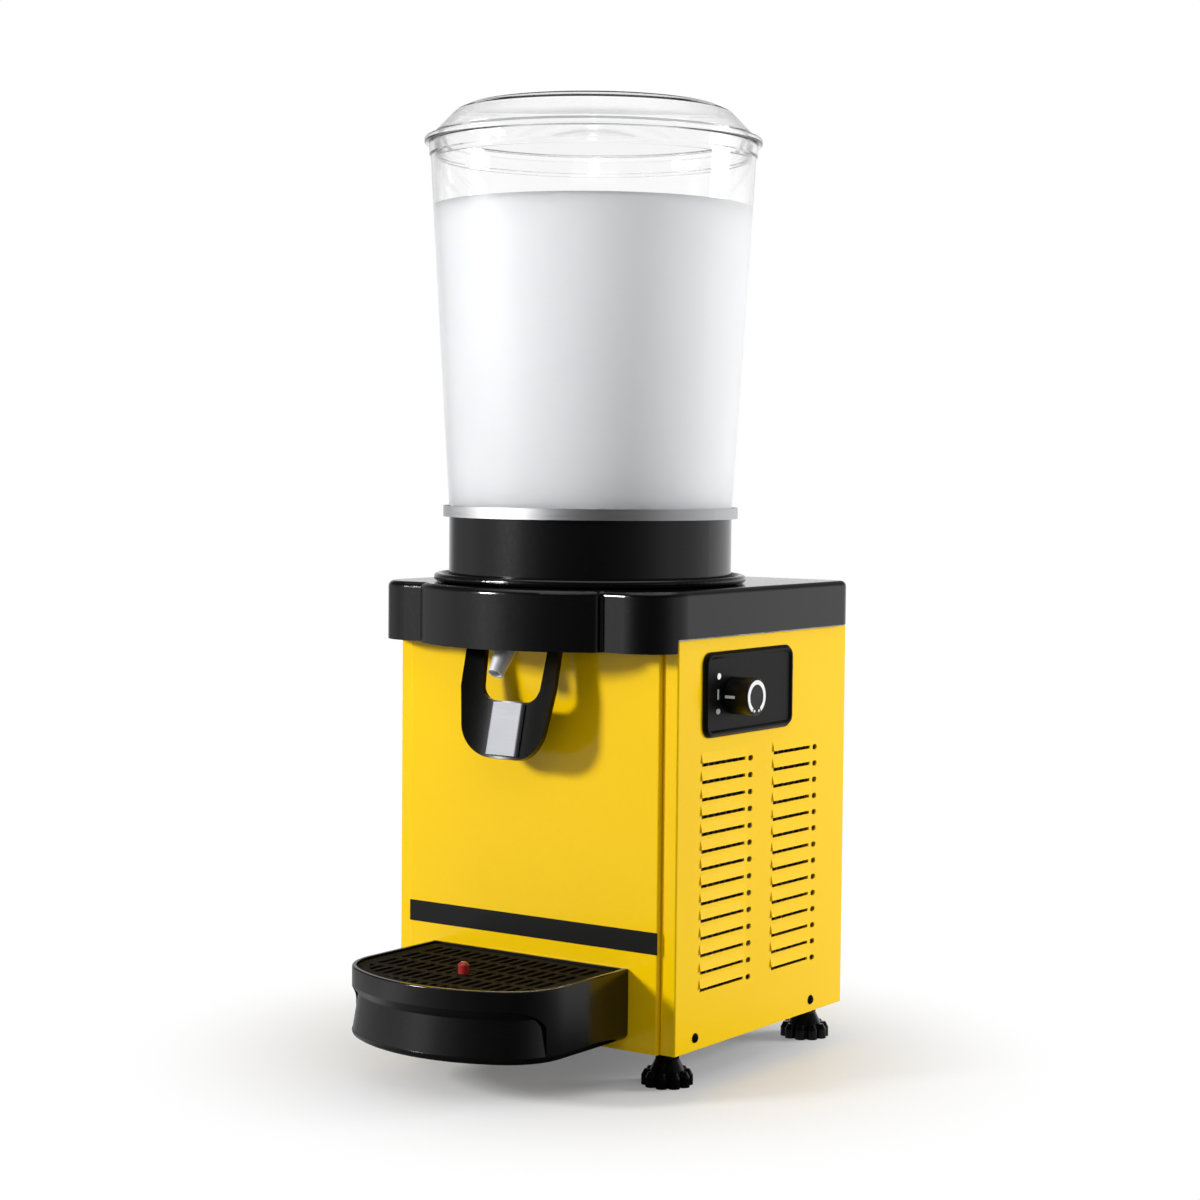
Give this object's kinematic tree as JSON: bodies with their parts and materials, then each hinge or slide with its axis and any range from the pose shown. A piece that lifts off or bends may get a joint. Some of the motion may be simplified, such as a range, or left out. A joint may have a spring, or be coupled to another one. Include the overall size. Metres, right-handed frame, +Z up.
{
  "type": "cold drink dispenser",
  "caption": "Counter-top cold drink dispenser with a clear tapered bowl and lid, cooled cup, push-lever tap, removable drip tray, black cover and louvred yellow sheet-metal body.",
  "frame": {"origin": "on the worktop, midway between the four feet", "axes": "+X to the right, +Y to the back, +Z up; the tap and tray face -Y"},
  "size_m": [0.2773, 0.376, 0.7043],
  "materials": {
    "yellow_paint": "semi-gloss powder coat",
    "galvanised_steel": "plain zinc-coated sheet",
    "black_screw": "blackened",
    "black_gloss": "gloss moulded",
    "black_satin": "satin moulded",
    "stainless_steel": "brushed",
    "polished_steel": "polished",
    "clear_plastic": "clear polycarbonate",
    "red_plastic": "gloss moulded",
    "white_plastic": "satin moulded",
    "seal_rubber": "soft",
    "insulation_foam": "rigid insulation foam",
    "copper": "plain copper",
    "aluminium_fin": "mill",
    "black_enamel": "black enamel"
  },
  "bodies": {
    "casing": {"left_side_panel": "yellow_paint", "right_side_panel": "yellow_paint", "front_panel": "yellow_paint", "back_panel": "yellow_paint", "base_plate": "galvanised_steel", "top_deck": "galvanised_steel", "tap_bracket": "galvanised_steel", "tray_tongues": "galvanised_steel", "fan_bracket": "galvanised_steel", "fan_shroud": "galvanised_steel", "foot_nuts": "galvanised_steel", "back_screws": "galvanised_steel", "lever_pins": "galvanised_steel", "valve_spring": "galvanised_steel", "side_screws": "black_screw", "top_cover": "black_gloss", "cover_skirt": "black_gloss", "gutter_ring": "black_gloss", "collar": "black_gloss", "control_panel": "black_gloss", "front_strip": "black_gloss", "power_inlet": "black_satin", "compressor_relay": "black_satin", "cooling_cup": "stainless_steel", "nozzle": "polished_steel", "shaft_bush": "white_plastic", "rotary_switch": "white_plastic", "tap_body": "white_plastic", "thermostat": "white_plastic", "terminal_block": "white_plastic", "bowl_gasket": "seal_rubber", "tap_gasket": "seal_rubber", "compressor_mounts": "seal_rubber", "cup_insulation": "insulation_foam", "refrigerant_tubes": "copper", "filter_drier": "copper", "condenser": "aluminium_fin", "evaporator_jacket": "aluminium_fin", "compressor": "black_enamel", "gear_motor": "black_enamel", "fan_motor": "black_enamel"},
    "bowl": {"bowl": "clear_plastic"},
    "lid": {"lid": "clear_plastic"},
    "stirrer_drive": {"drive_shaft": "stainless_steel"},
    "stirrer": {"stirrer": "white_plastic"},
    "lever": {"lever": "black_gloss", "lever_plate": "stainless_steel", "lever_crossbar": "stainless_steel"},
    "valve_plunger": {"valve_plunger": "white_plastic"},
    "drip_tray": {"drip_tray": "black_gloss"},
    "drip_grid": {"drip_grid": "black_satin"},
    "float_gauge": {"float_gauge": "red_plastic"},
    "mode_knob": {"mode_knob": "black_satin", "switch_spindle": "white_plastic"},
    "fan_rotor": {"fan_blades": "white_plastic"},
    "front_left_foot": {"front_left_foot": "black_satin"},
    "front_right_foot": {"front_right_foot": "black_satin"},
    "rear_left_foot": {"rear_left_foot": "black_satin"},
    "rear_right_foot": {"rear_right_foot": "black_satin"}
  },
  "joints": [
    {"name": "bowl_lift", "type": "slide", "parent": "casing", "child": "bowl", "axis": [0, 0, 1], "range_m": [0, 0.1]},
    {"name": "lid_lift", "type": "slide", "parent": "bowl", "child": "lid", "axis": [0, 0, 1], "range_m": [0, 0.06]},
    {"name": "stirrer_spin", "type": "hinge", "parent": "casing", "child": "stirrer_drive", "pos_m": [0, -0.049, 0.36], "axis": [0, 0, 1], "continuous": true},
    {"name": "stirrer_lift", "type": "slide", "parent": "stirrer_drive", "child": "stirrer", "axis": [0, 0, 1], "range_m": [0, 0.05]},
    {"name": "lever_press", "type": "hinge", "parent": "casing", "child": "lever", "pos_m": [0, -0.15, 0.326], "axis": [1, 0, 0], "range_deg": [0, 12], "stiffness_Nm_per_rad": 1.2, "springref_deg": -17.19},
    {"name": "plunger_lift", "type": "slide", "parent": "casing", "child": "valve_plunger", "axis": [0, 0, 1], "range_m": [0, 0.0045], "deforming": ["valve_spring"]},
    {"name": "tray_pull", "type": "slide", "parent": "casing", "child": "drip_tray", "axis": [0, -1, 0], "range_m": [0, 0.09]},
    {"name": "grid_lift", "type": "slide", "parent": "drip_tray", "child": "drip_grid", "axis": [0, 0, 1], "range_m": [0, 0.05]},
    {"name": "float_rise", "type": "slide", "parent": "drip_tray", "child": "float_gauge", "axis": [0, 0, 1], "range_m": [0, 0.008]},
    {"name": "knob_turn", "type": "hinge", "parent": "casing", "child": "mode_knob", "pos_m": [0.127, -0.048, 0.2765], "axis": [1, 0, 0], "range_deg": [-30, 30]},
    {"name": "fan_spin", "type": "hinge", "parent": "casing", "child": "fan_rotor", "pos_m": [0.069, 0, 0.147], "axis": [1, 0, 0], "continuous": true},
    {"name": "front_left_foot_turn", "type": "hinge", "parent": "casing", "child": "front_left_foot", "pos_m": [-0.105, -0.096, 0.01], "axis": [0, 0, 1], "continuous": true},
    {"name": "front_right_foot_turn", "type": "hinge", "parent": "casing", "child": "front_right_foot", "pos_m": [0.105, -0.096, 0.01], "axis": [0, 0, 1], "continuous": true},
    {"name": "rear_left_foot_turn", "type": "hinge", "parent": "casing", "child": "rear_left_foot", "pos_m": [-0.105, 0.096, 0.01], "axis": [0, 0, 1], "continuous": true},
    {"name": "rear_right_foot_turn", "type": "hinge", "parent": "casing", "child": "rear_right_foot", "pos_m": [0.105, 0.096, 0.01], "axis": [0, 0, 1], "continuous": true}
  ],
  "couplings": [
    {"joint": "plunger_lift", "follows": "lever_press", "m_per_rad": 0.02111}
  ]
}
